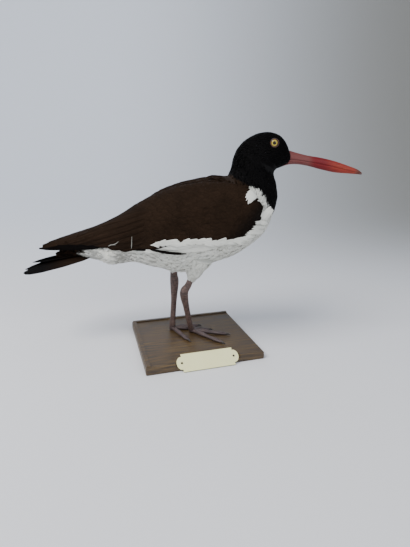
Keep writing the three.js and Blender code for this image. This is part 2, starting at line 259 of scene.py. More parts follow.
# Body form: upper line x z, lower line x z, half width, roundness
bodyStations = np.array([
    [-158, 128, -152, 110, 7, 2.0],
    [-135, 138, -133, 111, 15, 2.0],
    [-108, 148, -111, 110, 24, 2.0],
    [-84, 161, -92, 106, 32, 2.0],
    [-58, 180, -68, 108, 38, 2.1],
    [-33, 195, -39, 101.5, 42.5, 2.15],
    [-7, 204, -5, 97.5, 44, 2.15],
    [16, 208.5, 32, 110, 43, 2.1],
    [31, 210.5, 62, 123.5, 39.5, 2.1],
    [40, 212, 88, 146, 33, 2.05],
    [42.5, 214.5, 99, 171, 27, 2.0],
    [45.5, 222, 101.8, 189, 22, 2.0],
    [49, 234.5, 99.5, 203, 19, 2.0],
    [54.5, 244.5, 97, 213, 17.4, 2.0],
    [63.5, 252.8, 100, 218, 16.8, 2.05],
    [76, 258.6, 105.5, 220.4, 15.6, 2.1],
    [89, 259.8, 110, 222.4, 13.2, 2.15],
    [100, 256.2, 113, 223.6, 10.4, 2.1],
    [107, 249.5, 114.6, 224.6, 7.8, 2.1],
    [111, 241.5, 115.5, 225.6, 5.8, 2.1],
])


def bodySurface(u, angle, grow):
    t = np.clip(u, 0, 1) * (len(bodyStations) - 1)
    tx, tz, bx, bz, wide, power = (spline(bodyStations[:, k], t) for k in range(6))
    half = np.hypot(tx - bx, tz - bz) / 2
    ux, uz = (tx - bx) / (2 * half), (tz - bz) / (2 * half)
    c, s = np.cos(angle), np.sin(angle)
    across = np.sign(c) * np.abs(c) ** (2 / power) * (wide + grow)
    along = np.sign(s) * np.abs(s) ** (2 / power) * (half + grow)
    return np.stack([(tx + bx) / 2 + ux * along, across, (tz + bz) / 2 + uz * along], -1)


skinLook = {
    "inset": -1.6, "back": 2.2, "rump": 5.0, "rows": 150, "sides": 96, "step": 0.004,
    "bodyFeather": 13.0, "neckFeather": 7.5, "headFeather": 4.4, "faceShrink": 0.45,
    "margin": 0.02,
}
hoodLine = [[30, 222], [46, 213], [66, 204], [77, 200.5], [85, 192.5], [91, 183], [97, 174.5], [112, 168]]
markLook = {"hoodFrom": 30, "brownUntil": 67, "rumpEnd": -122, "wave": (5, 0.9)}
saddleLine = [[66, 199.5], [56, 186], [30, 172], [-20, 160], [-70, 148], [-120, 132], [-175, 124]]


def markings(x, z):
    look = markLook
    hood = smoothstep(z - lineHeight(hoodLine, x), -0.3, 0.3) * (x > look["hoodFrom"])
    brown = smoothstep(z - lineHeight(saddleLine, x), -0.4, 0.4) * (x < look["brownUntil"])
    wave = look["wave"][0] * np.sin(z * look["wave"][1])
    return hood, np.maximum(brown, smoothstep(look["rumpEnd"] - x + wave, -3, 3))


plumageLook = {
    "white": ((0.57, 0.57, 0.515), (0.75, 0.75, 0.69)), "whiteStreak": (0.44, 0.44, 0.38), "whiteShare": 0.16,
    "brown": ((0.0080, 0.0046, 0.0026), (0.0200, 0.0112, 0.0066)), "brownStreak": (0.046, 0.027, 0.017),
    "brownShare": 0.42, "black": ((0.0010, 0.0009, 0.0010), (0.0028, 0.0025, 0.0026)),
}


def plumageColor(graph, hood, brown, tone, streak):
    look = plumageLook
    white = graph.color(tone, *look["white"])
    white = graph.color(streak * look["whiteShare"], white, look["whiteStreak"])
    dark = graph.color(tone, *look["black"])
    back = graph.color(tone, *look["brown"])
    back = graph.color(streak * look["brownShare"], back, look["brownStreak"])
    return graph.color(hood, graph.color(brown, white, back), dark)


def featherMaterial(name):
    graph = Graph(name)
    tone = graph.attribute("tone")
    hood = graph.attribute("hood")
    brown = graph.attribute("brown")
    along, across, _ = graph.axes(graph.attribute("leaf", 1))
    patchy = graph.noise(graph.place(), 42, 3)
    fray = graph.noise(graph.join(along * 5 + tone * 31, across * 9, tone * 17), 1.0, 3)
    barbs = (along * 70 + across.abs() * 30 + fray * 8).sin() * 0.5 + 0.5
    shaft = across.abs().ramp(0.0, 0.07, 1.0, 0.0)
    streak = fray.ramp(0.42, 0.72) * 0.7 + shaft * 0.35 + barbs * 0.12
    blend = tone * 0.55 + patchy.ramp(0.3, 0.7) * 0.45
    base = plumageColor(graph, hood, brown, blend, streak)
    height = barbs * 0.4 + shaft + fray * 0.8
    dull = hood.ramp(0, 1, 0.78, 0.62)
    return graph.set(Base_Color=base, Roughness=dull, Specular_IOR_Level=0.04,
                     Normal=graph.bump(height, 0.3, 0.0002))


def skinMaterial():
    graph = Graph("skin")
    hood = graph.attribute("hood")
    brown = graph.attribute("brown")
    grain = graph.noise(graph.place(), 900)
    base = plumageColor(graph, hood, brown, grain, grain * 0.5)
    return graph.set(Base_Color=base, Roughness=0.85, Specular_IOR_Level=0.2)


def featherSize(u):
    look = skinLook
    head = smoothstep(u, 0.60, 0.86)
    neck = smoothstep(u, 0.38, 0.56)
    size = look["bodyFeather"] * (1 - neck) + look["neckFeather"] * neck * (1 - head)
    size = size + look["headFeather"] * head
    return size * (1 - look["faceShrink"] * smoothstep(u, 0.9, 1.0))


def buildSkin():
    look = skinLook
    rows, sides = look["rows"], look["sides"]
    u = np.repeat(np.linspace(0, 1, rows), sides)
    angle = np.tile(np.linspace(0, 2 * math.pi, sides, endpoint=False), rows)
    back = smoothstep(np.sin(angle), 0.2, 0.9) * smoothstep(u, 0.12, 0.24) * (1 - smoothstep(u, 0.42, 0.5))
    inset = look["inset"] + look["back"] * back - look["rump"] * (1 - smoothstep(u, 0.0, 0.13))
    verts = bodySurface(u, angle, inset)
    ahead = bodySurface(np.clip(u + look["step"], 0, 1), angle, inset)
    behind = bodySurface(np.clip(u - look["step"], 0, 1), angle, inset)
    lie = behind - ahead
    lie /= np.linalg.norm(lie, axis=1)[:, None] + 1e-9
    hood, brown = markings(verts[:, 0], verts[:, 2])
    margin = look["margin"]
    unwrap = margin + (1 - 2 * margin) * np.stack([u, angle / (2 * math.pi)], 1)
    attributes = {"hood": hood, "brown": brown, "lie": lie, "size": featherSize(u), "along": u,
                  "unwrap": np.column_stack([unwrap, np.zeros(len(u))])}
    return solidPiece("skin", verts, cappedRings(rows, sides), skinMaterial(), None,
                      "torso", "mantle", "neck", "head", attributes=attributes, corner=unwrap)


skin = buildSkin()


# Coat: small feathers scattered over the skin along their lie
leafLook = {
    "stations": [(0.0, 0.25), (0.28, 0.8), (0.6, 1.0), (0.86, 0.7), (1.0, 0.1)],
    "edge": -0.012, "ridge": 0.02, "sink": 0.03, "lift": 0.05,
}


def leafMesh(name, wide):
    look = leafLook
    verts, leaf = [], []
    for s, share in look["stations"]:
        half = wide * share / 2
        rise = look["lift"] * math.sin(s * 2.2) - look["sink"]
        for w, up in ((-half, look["edge"]), (0, look["ridge"]), (half, look["edge"])):
            verts.append((s, w, rise + up))
            leaf.append((s, w / (wide / 2), 0))
    faces = [(2, 1, 0), (len(verts) - 3, len(verts) - 2, len(verts) - 1)]
    for r in range(len(look["stations"]) - 1):
        a = r * 3
        faces += [(a, a + 1, a + 4, a + 3), (a + 1, a + 2, a + 5, a + 4), (a + 2, a, a + 3, a + 5)]
    return outward(meshPiece(name, np.array(verts) / mm, faces, None, {"leaf": np.array(leaf)}))


def socketNamed(group, label):
    found = (item for item in group.interface.items_tree if item.name == label and item.in_out == "INPUT")
    return next(found).identifier


def scatterTree(name, material):
    group = bpy.data.node_groups.new(name, "GeometryNodeTree")
    kinds = {"Geometry": "Geometry", "Leaf": "Object", "Spacing": "Float", "From": "Float", "To": "Float",
             "Seed": "Int"}
    for label, kind in kinds.items():
        group.interface.new_socket(label, in_out="INPUT", socket_type="NodeSocket" + kind)
    group.interface.new_socket("Geometry", in_out="OUTPUT", socket_type="NodeSocketGeometry")
    nodes, links = group.nodes, group.links

    def node(kind, settings=None, inputs=None):
        made = nodes.new(kind)
        for key, value in (settings or {}).items():
            setattr(made, key, value)
        for key, value in (inputs or {}).items():
            if hasattr(value, "is_output"):
                links.new(value, made.inputs[key])
            else:
                made.inputs[key].default_value = value
        return made

    def named(label, kind="FLOAT"):
        return node("GeometryNodeInputNamedAttribute", {"data_type": kind}, {"Name": label}).outputs[0]

    def maths(kind, a, b):
        return node("ShaderNodeMath", {"operation": kind}, {0: a, 1: b}).outputs[0]

    def vectors(kind, a, b, socket=1):
        return node("ShaderNodeVectorMath", {"operation": kind}, {0: a, socket: b}).outputs[0]

    def compare(kind, limit):
        settings = {"data_type": "FLOAT", "operation": kind}
        return node("FunctionNodeCompare", settings, {0: along, 1: limit}).outputs[0]

    def chance(low, high, seed):
        made = node("FunctionNodeRandomValue", {"data_type": "FLOAT"}, {2: low, 3: high, "Seed": seed})
        return made.outputs[1]

    source = node("NodeGroupInput").outputs
    sink = node("NodeGroupOutput")
    along = named("along")
    limits = {0: compare("GREATER_EQUAL", source["From"]), 1: compare("LESS_THAN", source["To"])}
    inside = node("FunctionNodeBooleanMath", {"operation": "AND"}, limits).outputs[0]
    dense = maths("DIVIDE", 1.1, maths("MULTIPLY", source["Spacing"], source["Spacing"]))
    points = node("GeometryNodeDistributePointsOnFaces", {"distribute_method": "POISSON"},
                  {"Mesh": source["Geometry"], "Selection": inside, "Distance Min": source["Spacing"],
                   "Density Max": dense, "Seed": source["Seed"]})
    toned = node("GeometryNodeStoreNamedAttribute", {"data_type": "FLOAT", "domain": "POINT"},
                 {"Geometry": points.outputs["Points"], "Name": "tone", "Value": chance(0.0, 1.0, 3)})
    turn = node("FunctionNodeAlignRotationToVector", {"axis": "Z"}, {"Vector": points.outputs["Normal"]})
    stray = node("FunctionNodeRandomValue", {"data_type": "FLOAT_VECTOR"},
                 {0: (-1, -1, -1), 1: (1, 1, 1), "Seed": 11}).outputs[0]
    heading = vectors("ADD", named("lie", "FLOAT_VECTOR"), vectors("SCALE", stray, 0.16, "Scale"))
    facing = node("FunctionNodeAlignRotationToVector", {"axis": "X", "pivot_axis": "Z"},
                  {"Rotation": turn.outputs[0], "Vector": heading})
    size = maths("MULTIPLY", maths("MULTIPLY", named("size"), mm), chance(0.8, 1.2, 5))
    cube = node("ShaderNodeCombineXYZ", None, {0: size, 1: size, 2: size})
    leaf = node("GeometryNodeObjectInfo", None, {"Object": source["Leaf"]})
    stamped = node("GeometryNodeInstanceOnPoints", None,
                   {"Points": toned.outputs[0], "Instance": leaf.outputs["Geometry"],
                    "Rotation": facing.outputs[0], "Scale": cube.outputs[0]})
    real = node("GeometryNodeRealizeInstances", None, {0: stamped.outputs[0]})
    patch = vectors("SCALE", named("leaf", "FLOAT_VECTOR"), patchSize, "Scale")
    mapped = node("GeometryNodeStoreNamedAttribute", {"data_type": "FLOAT2", "domain": "CORNER"},
                  {"Geometry": real.outputs[0], "Name": "OFBake",
                   "Value": vectors("ADD", named("unwrap", "FLOAT_VECTOR"), patch)})
    dressed = node("GeometryNodeSetMaterial", None, {"Geometry": mapped.outputs[0], "Material": material})
    links.new(dressed.outputs[0], sink.inputs[0])
    return group


patchSize = 0.0015
coarser = 1.0
coatTree = scatterTree("coatScatter", featherMaterial("coat"))


def scatter(name, look, seed):
    host = placed(name + "Host", skin.data.copy())
    grown = host.modifiers.new("coat", "NODES")
    grown.node_group = coatTree
    values = {"Leaf": look["leaf"], "Spacing": look["spacing"] * coarser * mm, "From": look["along"][0],
              "To": look["along"][1], "Seed": seed}
    for label, value in values.items():
        grown[socketNamed(coatTree, label)] = value
    bpy.context.view_layer.update()
    depsgraph = bpy.context.evaluated_depsgraph_get()
    mesh = bpy.data.meshes.new_from_object(host.evaluated_get(depsgraph))
    bpy.data.objects.remove(host)
    piece = placed(name, mesh)
    mesh.polygons.foreach_set("use_smooth", [True] * len(mesh.polygons))
    for label in ("lie", "size", "along", "unwrap"):
        if label in mesh.attributes:
            mesh.attributes.remove(mesh.attributes[label])
    finishPiece(piece, look["slot"])


bodyLeaf = leafMesh("bodyLeaf", 0.74)
headLeaf = leafMesh("headLeaf", 0.5)
coatPieces = {
    "coat_rump": {"leaf": bodyLeaf, "spacing": 1.75, "along": (0.0, 0.2), "slot": "white"},
    "coat_flank": {"leaf": bodyLeaf, "spacing": 1.9, "along": (0.2, 0.29), "slot": "white"},
    "coat_belly": {"leaf": bodyLeaf, "spacing": 1.9, "along": (0.29, 0.36), "slot": "white"},
    "coat_breast": {"leaf": bodyLeaf, "spacing": 1.8, "along": (0.36, 0.44), "slot": "white"},
    "coat_throat": {"leaf": bodyLeaf, "spacing": 1.6, "along": (0.44, 0.53), "slot": "white"},
    "coat_neck": {"leaf": bodyLeaf, "spacing": 1.25, "along": (0.53, 0.68), "slot": "black"},
    "coat_head": {"leaf": headLeaf, "spacing": 0.9, "along": (0.68, 0.985), "slot": "black"},
}
for seed, (name, look) in enumerate(coatPieces.items()):
    scatter(name, look, seed)
bpy.data.objects.remove(bodyLeaf)
bpy.data.objects.remove(headLeaf)

# Wing surface, seen from the side: x, lower z, upper z, y at the lower edge, middle, upper edge
wingStations = np.array([
    [79, 177, 181, 34, 35, 34],
    [72, 163, 192, 38, 40, 32],
    [56, 149.6, 201, 42, 45, 23],
    [28, 135, 205, 46, 48.5, 19],
    [0, 130.5, 203, 46.5, 49, 18],
    [-30, 130.8, 195, 44.5, 47, 15],
    [-58, 132.5, 182.5, 40, 42.5, 11],
    [-86, 132.5, 165, 33, 35, 6],
    [-114, 133.2, 152, 25, 26.5, 3],
    [-146, 131.5, 141.5, 16.5, 17.5, 3],
    [-170, 128, 133.5, 11.5, 12, 5],
    [-188, 124.5, 127, 8, 8.4, 7],
], dtype=float)
wingForm = {"swell": 0.42, "probe": 0.6, "steepest": -3.5, "easiest": 1, "crest": 0.4, "fold": 1.2}


def wingStation(x):
    xs = wingStations[:, 0]
    k = np.clip(np.searchsorted(-xs, -x, side="right") - 1, 0, len(xs) - 2)
    span = xs[k + 1] - xs[k]
    f = np.clip((x - xs[k]) / span, 0, 1)
    slope = np.gradient(wingStations, xs, axis=0)
    here, there = wingStations[k], wingStations[k + 1]
    leave, arrive = slope[k], slope[k + 1]
    return [hermite(f, here[..., c], there[..., c], leave[..., c] * span, arrive[..., c] * span)
            for c in range(1, 6)]


def wingReach(x, z):
    low, high, yLow, yMid, yHigh = wingStation(x)
    b = np.clip((z - low) / (high - low), 0, 1)
    swell = wingForm["swell"]
    under = yLow + (yMid - yLow) * (1 - ((swell - np.minimum(b, swell)) / swell) ** 2)
    q = np.clip((b - swell) / (1 - swell), 0, 1)
    over = yHigh + (yMid - yHigh) * np.sqrt(np.maximum(1 - q * q, 0))
    return np.where(b < swell, under, over)


# Vane: one flat feather. An outline gives places along the shaft and the share of the width there
vaneLook = {
    "stations": 12, "columns": 7, "thick": 0.2, "bow": 0.36, "ragged": 0.05, "tilt": 0.02,
    "tuft": ([0, 0.15, 0.4, 0.75, 1], [0.4, 0.9, 1, 0.55, 0.05]),
    "quill": ([0, 0.1, 0.4, 0.72, 0.9, 1], [0.35, 0.7, 1, 0.86, 0.52, 0.06]),
    "long": ([0, 0.1, 0.4, 0.8, 0.93, 1], [0.35, 0.7, 1, 0.95, 0.72, 0.28]),
    "covert": ([0, 0.12, 0.4, 0.72, 0.9, 1], [0.3, 0.66, 1, 0.97, 0.72, 0.3]),
}


def vanePiece(place, width, kind, tone, hood, brown, rootUv,
              rows=vaneLook["stations"], cols=vaneLook["columns"]):
    steps = np.linspace(0, 1, rows)
    u = np.repeat(steps, cols)
    share = np.repeat(np.interp(steps, *vaneLook[kind]), cols)
    w = np.tile(np.linspace(-1, 1, cols), rows)
    bow = vaneLook["bow"] * np.abs(w) ** 2
    ragged = 1 - vaneLook["ragged"] * np.abs(np.sin(u * 37 + tone * 20)) * np.abs(w)
    top = place(u, w * share * ragged * width / 2, vaneLook["thick"] - bow * 0.5)
    bottom = place(u, w * share * ragged * width / 2, -bow * 0.5)
    n = len(top)
    faces = ringFaces(rows, cols, closed=False)
    under = [tuple(i + n for i in f[::-1]) for f in faces]
    edge = ([r * cols for r in range(rows)]
            + [(rows - 1) * cols + i for i in range(1, cols)]
            + [r * cols + cols - 1 for r in range(rows - 2, -1, -1)]
            + list(range(cols - 2, 0, -1)))
    sides = [(a, b, b + n, a + n) for a, b in zip(edge, edge[1:] + edge[:1])]
    uv = np.array(rootUv)[None] + np.stack([u, w], 1) * patchSize
    hoodRoot, hoodTip = hood if isinstance(hood, tuple) else (hood, hood)
    darkness = hoodRoot + (hoodTip - hoodRoot) * smoothstep(u, 0.25, 0.75)
    facts = np.column_stack([u, w, np.full(n, tone), darkness, np.full(n, brown), uv])
    return np.concatenate([top, bottom]), faces + under + sides, np.concatenate([facts, facts])


def vaneObject(name, parts, material, slotName, *nodes):
    verts, faces, facts = join(parts)
    leaf = np.column_stack([facts[:, 0], facts[:, 1], np.zeros(len(facts))])
    attributes = {"leaf": leaf, "tone": facts[:, 2], "hood": facts[:, 3], "brown": facts[:, 4]}
    solidPiece(name, verts, faces, material, slotName, *nodes, attributes=attributes, corner=facts[:, 5:7])


wingLook = {
    "core": {"sink": 1.1, "start": 78, "end": -150, "rows": 64, "steps": 22, "depth": 6},
    "covert": {"rows": 17, "perRow": 22, "start": 75, "run": 147, "length": (13, 30), "width": (7.5, 12),
               "lift": 0.25, "crest": 0.6},
    "band": {"count": 40, "start": (70, 158), "run": 126, "drop": 25.5, "fall": (44, 38), "length": (22, 34),
             "width": 9, "lift": -0.6},
    "tuft": {"count": 90, "start": 74, "run": 118, "length": (8, 17), "width": (2.4, 5), "lift": 0.9,
             "dip": 2.0},
    "spur": {"rows": 6, "perRow": 8, "centre": (73, 188.5), "reach": (13, 10.5), "arc": (215, 125),
             "fall": (62, 96), "stray": (-0.7, 0.7), "length": (8, 12), "width": (3.4, 5.2), "lift": 1.2,
             "dip": 1.6, "behind": 58, "above": 180, "front": 62, "lean": 0.4},
    "unwrap": {"left": 0.5, "margin": 0.03, "share": 0.4, "x": (-190, 270), "z": (120, 95)},
}
# Single feathers of a wing: root, tip, then sag, width and lift as far as they vary
underVanes = [
    ([-10, 129.5], [-44, 133.6], 3.4, 1.6), ([-4, 129], [-36, 131.4], 2.6, 1.9),
    ([-40, 133], [-76, 133.6], 4, -0.5),
]
wisps = [
    ([-64, 148], [-65.5, 134.5], -2.2, 2.6), ([-80, 141.5], [-90, 137.5], -1.2, 2.4),
    ([-84, 137], [-93, 135.5], 1.0, 2.2),
]
brownEdge = [[73, 186], [75, 178], [75, 172], [72, 164.5], [67, 156], [59, 149], [49.4, 144.5], [38.4, 143],
             [27.4, 142.5], [16.4, 142.8], [0, 143.5], [-17, 144], [-36, 142], [-48, 138], [-60, 136]]
tertials = [
    ([-18, 187], [-177, 129.8], 4.5, 16, 1.3), ([-22, 181], [-160, 134.6], 2.5, 17, 1.1),
    ([-26, 174], [-146, 136.4], 1.0, 18, 0.9), ([-30, 167], [-130, 137.6], 0, 18, 0.7),
    ([-34, 160], [-112, 136.6], -0.5, 19, 0.5), ([-37, 154], [-97, 135.4], -1, 19, 0.3),
    ([-40, 149], [-84, 134.6], -1, 18, 0.1),
]
primaries = [
    ([-76, 139], [-168, 130.4], -0.8, 6, -1.0), ([-78, 138], [-173, 128.9], -1.0, 6, -1.5),
    ([-80, 137], [-177, 127.8], -1.2, 5.5, -2.0), ([-82, 136], [-180.5, 126.8], -1.4, 5, -2.5),
    ([-84, 135], [-183.5, 126.0], -1.6, 4.5, -3.0),
]


def wingPoint(side, x, z, off):
    form = wingForm
    high = wingStation(x)[1]
    held = np.minimum(z, high - form["crest"])
    reach = wingReach(x, held)
    slope = (reach - wingReach(x, held - form["probe"])) / form["probe"]
    slope = np.clip(slope, form["steepest"], form["easiest"])
    scale = off / np.hypot(1, slope)
    y = reach - (z - held) * form["fold"] + scale
    return np.stack([x, side * np.maximum(y, 0.5 + 0.1 * (off + 6)), held - slope * scale], -1)


def rootSpot(side, x, z):
    look = wingLook["unwrap"]
    across = look["margin"] + (x - look["x"][0]) / look["x"][1] * look["share"]
    return across + (look["left"] if side > 0 else 0), (z - look["z"][0]) / look["z"][1]


def wingCore(side):
    look = wingLook["core"]
    x = np.linspace(look["start"], look["end"], look["rows"])
    low, high = wingStation(x)[:2]
    b = 0.5 - 0.5 * np.cos(np.linspace(0, math.pi, look["steps"]))
    z = low[:, None] + (high - low)[:, None] * b[None]
    spread = np.repeat(x[:, None], look["steps"], 1)
    outer = wingPoint(side, spread, z, np.full(z.shape, -look["sink"]))
    inner = wingPoint(side, spread, z, np.full(z.shape, -look["depth"]))
    verts = np.concatenate([outer, inner[:, ::-1]], 1)
    rows, sides = verts.shape[:2]
    flat = verts.reshape(-1, 3)
    brown = smoothstep(flat[:, 2] - lineHeight(brownEdge, flat[:, 0]), -3, 1)
    none = np.zeros(len(flat))
    uv = rootSpot(side, flat[:, 0], flat[:, 2])
    facts = np.column_stack([none + 0.5, none, none + 0.2, none, brown, *uv])
    return flat, cappedRings(rows, sides), facts


def longVane(side, root, tip, sag, width, liftRoot, liftTip, tone, hood, brown):
    (x0, z0), (x1, z1) = root, tip
    length = math.hypot(x1 - x0, z1 - z0)
    dx, dz = (x1 - x0) / length, (z1 - z0) / length

    def place(u, w, thick):
        x = x0 + (x1 - x0) * u - dz * w
        z = z0 + (z1 - z0) * u + dx * w + sag * 4 * u * (1 - u)
        off = liftRoot + (liftTip - liftRoot) * smoothstep(u, 0.0, 0.3) + vaneLook["tilt"] * w + thick
        return wingPoint(side, x, z, off)

    return vanePiece(place, width, "long", tone, hood, brown, rootSpot(side, x0, z0))


def covertVane(side, tipX, tipZ, fall, length, width, lift, tone, hood, brown,
               dip=1.6, curl=0.0, kind="covert"):
    dx, dz = -math.cos(fall), -math.sin(fall)
    tilt = vaneLook["tilt"]

    def place(u, w, thick):
        bend = curl * length * (u - 1) * u
        x = tipX + dx * length * (u - 1) - dz * (w + bend)
        z = tipZ + dz * length * (u - 1) + dx * (w + bend)
        off = lift + tilt * length * (u - 1) + tilt * w - dip * (1 - smoothstep(u, 0, 0.35)) + thick
        return wingPoint(side, x, z, off)

    return vanePiece(place, width, kind, tone, hood, brown, rootSpot(side, tipX, tipZ))


def between(draw, pair):
    return draw.uniform(pair[0], pair[1])


def lieAngle(x, b):
    upper = np.interp(x, [-180, -120, -80, -40, 0, 40, 80], [20, 24, 29, 24, 16, 22, 34])
    lower = np.interp(x, [-180, -120, -80, -40, 0, 40, 80], [10, 8, 10, 14, 18, 34, 58])
    return math.radians(lower + (upper - lower) * b)


def longFeathers(side, draw):
    parts = []
    for root, tip, sag, width, lift in primaries:
        tone = draw.uniform(0, 0.3)
        parts.append(longVane(side, root, tip, sag, width, lift - 1.5, lift, tone, 0.85, 1.0))
    for root, tip, sag, width, lift in tertials[::-1]:
        tone = draw.uniform(0.35, 0.65)
        parts.append(longVane(side, root, tip, sag, width, -0.8, lift, tone, 0.0, 1.0))
    for root, tip, width, lift in underVanes:
        parts.append(longVane(side, root, tip, -0.6, width, lift - 2, lift, 0.2, 0.85, 1.0))
    return parts


def onSpur(x, z):
    look = wingLook["spur"]
    height = z - look["above"]
    return x > look["behind"] and height > 0 and x + height * look["lean"] > look["front"]


def coverts(side, draw):
    look = wingLook["covert"]
    parts = []
    for r in range(look["rows"]):
        b = r / (look["rows"] - 1)
        for k in range(look["perRow"]):
            v = (k + 0.5 * (r % 2) + draw.uniform(-0.3, 0.3)) / look["perRow"]
            tipX = look["start"] - look["run"] * v
            edge = float(lineHeight(brownEdge, tipX))
            crest = float(wingStation(np.array([tipX]))[1][0]) - look["crest"]
            tipZ = edge + (crest - edge) * b ** 0.9 + draw.uniform(-1.6, 1.6)
            if onSpur(tipX, tipZ):
                continue
            grow = min(1.0, v * 1.7)
            length = look["length"][0] * (1 - grow) + look["length"][1] * grow
            width = look["width"][0] * (1 - grow) + look["width"][1] * grow
            fall = lieAngle(tipX, b) + draw.uniform(-0.05, 0.05)
            length = min(length, 5.5 + (look["start"] - tipX) / math.cos(fall))
            dark = float(smoothstep(np.array(tipX + (178 - tipZ) * 0.8), 52, 84)) * 0.75
            lift = look["lift"] + 0.5 * b
            parts.append(covertVane(side, tipX, min(tipZ, crest), fall, length, width, lift,
                                    draw.uniform(0.25, 0.75), dark, 1.0, curl=draw.uniform(-0.04, 0.04)))
    return parts


def bandVanes(side, draw):
    look = wingLook["band"]
    parts = []
    for k in range(look["count"]):
        v = k / (look["count"] - 1)
        tipX, tipZ = look["start"][0] - look["run"] * v, look["start"][1] - look["drop"] * v ** 0.5
        fall = math.radians(look["fall"][0] - look["fall"][1] * v ** 0.6) + draw.uniform(-0.04, 0.04)
        parts.append(covertVane(side, tipX, tipZ + draw.uniform(-1, 1), fall, between(draw, look["length"]),
                                look["width"], look["lift"], draw.uniform(0.3, 1), 0.0, 0.0))
    return parts


def whiteTuft(side, draw, look, tipX, tipZ, fall, lift, darkest):
    length, width = between(draw, look["length"]), between(draw, look["width"])
    tone = draw.uniform(darkest, 1)
    return covertVane(side, tipX, tipZ, fall, length, width, lift, tone, 0.0, 0.0, look["dip"], kind="tuft")


def edgeTufts(side, draw):
    look = wingLook["tuft"]
    parts = []
    for k in range(look["count"]):
        tipX = look["start"] - look["run"] * (k + draw.uniform(0, 1)) / look["count"]
        edge = float(lineHeight(brownEdge, tipX))
        fall = math.radians(draw.uniform(-16, 14))
        tipZ = edge + draw.uniform(-3.5, 1.4)
        parts.append(whiteTuft(side, draw, look, tipX, tipZ, fall, look["lift"], 0.4))
    return parts


def wispVanes(side):
    return [longVane(side, root, tip, sag, 0.7, lift - 1, lift, 0.0, 0.0, 0.45)
            for root, tip, sag, lift in wisps]


def spurTufts(side, draw):
    look = wingLook["spur"]
    (centreX, centreZ), (reachX, reachZ) = look["centre"], look["reach"]
    parts = []
    for r in range(look["rows"]):
        for k in range(look["perRow"]):
            a = k / (look["perRow"] - 1)
            reach = 1 - r / look["rows"]
            angle = math.radians(look["arc"][0] - look["arc"][1] * a)
            tipX = centreX + reachX * reach * math.cos(angle) + between(draw, look["stray"])
            tipZ = centreZ + reachZ * reach * math.sin(angle) + between(draw, look["stray"])
            fall = math.radians(look["fall"][0] - look["fall"][1] * a) + draw.uniform(-0.1, 0.1)
            parts.append(whiteTuft(side, draw, look, tipX, tipZ, fall, look["lift"] - 0.12 * r, 0.5))
    return parts


wingFeathers = featherMaterial("wingFeathers")
for name, side in (("right", -1), ("left", 1)):
    draw = np.random.default_rng(21 + side)
    dark = [wingCore(side)] + longFeathers(side, draw) + coverts(side, draw)
    vaneObject("quills_" + name, dark, wingFeathers, "brown", "wing_" + name)
    white = bandVanes(side, draw) + edgeTufts(side, draw) + wispVanes(side) + spurTufts(side, draw)
    vaneObject("band_" + name, white, wingFeathers, "white")

# Tail: the far feathers end high, the near ones hang lower
tailLook = {
    "count": 12, "root": (-122, 123), "width": 13.5, "fan": (1.3, 3.3), "arch": 2.2,
    "lower": (-204, 98), "upper": (-196, 108),
    "nearRoll": 34, "middleRoll": 18, "farRoll": -22,
}


def tailVane(k, draw):
    look = tailLook
    split = float(smoothstep(np.array(-k), 0.8, 1.8))
    short = 1.1 * abs(k) if k > -1 else 1.5 * (-k - 2.5)
    drop = 0.9 * k if k > 0 else 0.3 * min(-k - 1, 2)
    tipX = look["upper"][0] + (look["lower"][0] - look["upper"][0]) * split + short + draw.uniform(-1, 1)
    tipZ = look["upper"][1] + (look["lower"][1] - look["upper"][1]) * split - drop
    rootX, rootZ = look["root"][0], look["root"][1] - abs(k) * 1.1
    roll = math.radians(look["nearRoll"] if k < -1 else look["middleRoll"] if k < 0 else look["farRoll"])
    tight, wide = look["fan"]

    def place(u, w, thick):
        x = rootX + (tipX - rootX) * u
        y = k * (tight + (wide - tight) * u) + w * math.cos(roll)
        z = rootZ + (tipZ - rootZ) * u + w * math.sin(roll) + thick + look["arch"] * u * (1 - u)
        return np.stack([x, y, z], -1)

    dark = (0.1, 0.95) if k < -1 else (0.5, 0.97)
    return vanePiece(place, look["width"], "quill", draw.uniform(0, 0.6), dark, 1.0, (0.1 + k * 0.01, 0.5))


def buildTail():
    draw = np.random.default_rng(5)
    places = np.arange(tailLook["count"]) - tailLook["count"] / 2 + 0.5
    return [tailVane(k, draw) for k in sorted(places, key=lambda v: -abs(v))]


vaneObject("tail_quills", buildTail(), wingFeathers, "blackBrown", "tail")

# Bill: x, top, mouth line, bottom, half width
billStations = np.array([
    [104, 241, 229.8, 221, 4.6],
    [112, 239.2, 229.4, 223.5, 4.9],
    [122, 236.4, 228.4, 223.9, 4.5],
    [134, 233.6, 226.8, 222.2, 3.9],
    [150, 231, 224, 218.2, 3.4],
    [166, 227.2, 220.6, 214.9, 3.0],
    [182, 222, 217, 213.6, 2.4],
    [192, 218.4, 214.8, 212.9, 1.8],
    [197.5, 214.8, 213.4, 212.4, 0.9],
])


billLook = {
    "rows": 60, "sides": 14, "gape": 0.12,
    "nostril": {"x": 127, "above": 2.6, "long": 5, "high": 0.8, "deep": 0.28},
}


